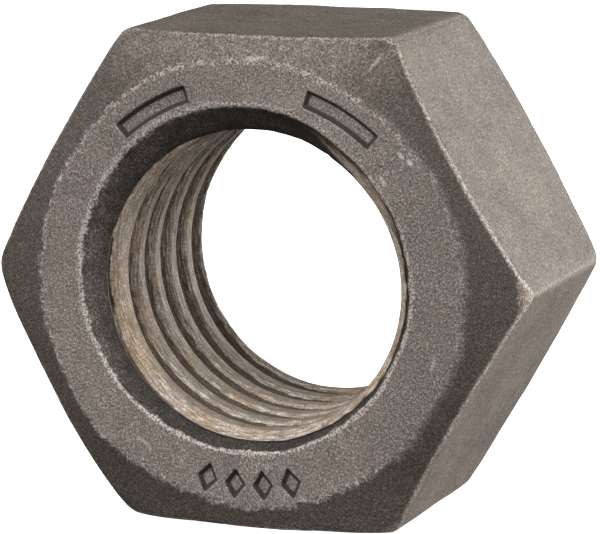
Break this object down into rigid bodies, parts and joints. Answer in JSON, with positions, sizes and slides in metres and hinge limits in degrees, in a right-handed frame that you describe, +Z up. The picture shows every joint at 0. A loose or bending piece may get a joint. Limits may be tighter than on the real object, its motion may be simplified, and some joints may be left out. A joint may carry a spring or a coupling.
{
  "type": "hex nut",
  "caption": "Hot-forged steel hex nut with chamfered corners, a countersunk right-hand threaded bore and recessed grade marks on one face.",
  "frame": {"origin": "middle of the threaded bore, halfway between the two faces", "axes": "+Y along the thread axis, out of the unmarked face; the marked face looks along -Y; +Z up with the nut standing on a flat; +X towards a corner"},
  "size_m": [0.0422, 0.0212, 0.0368],
  "materials": {
    "forged_steel": "plain hot-forged steel with dark scale, scuffed brighter on the raised face, and a dull tan machined thread"
  },
  "bodies": {
    "root": {"hex_nut": "forged_steel"}
  },
  "joints": []
}
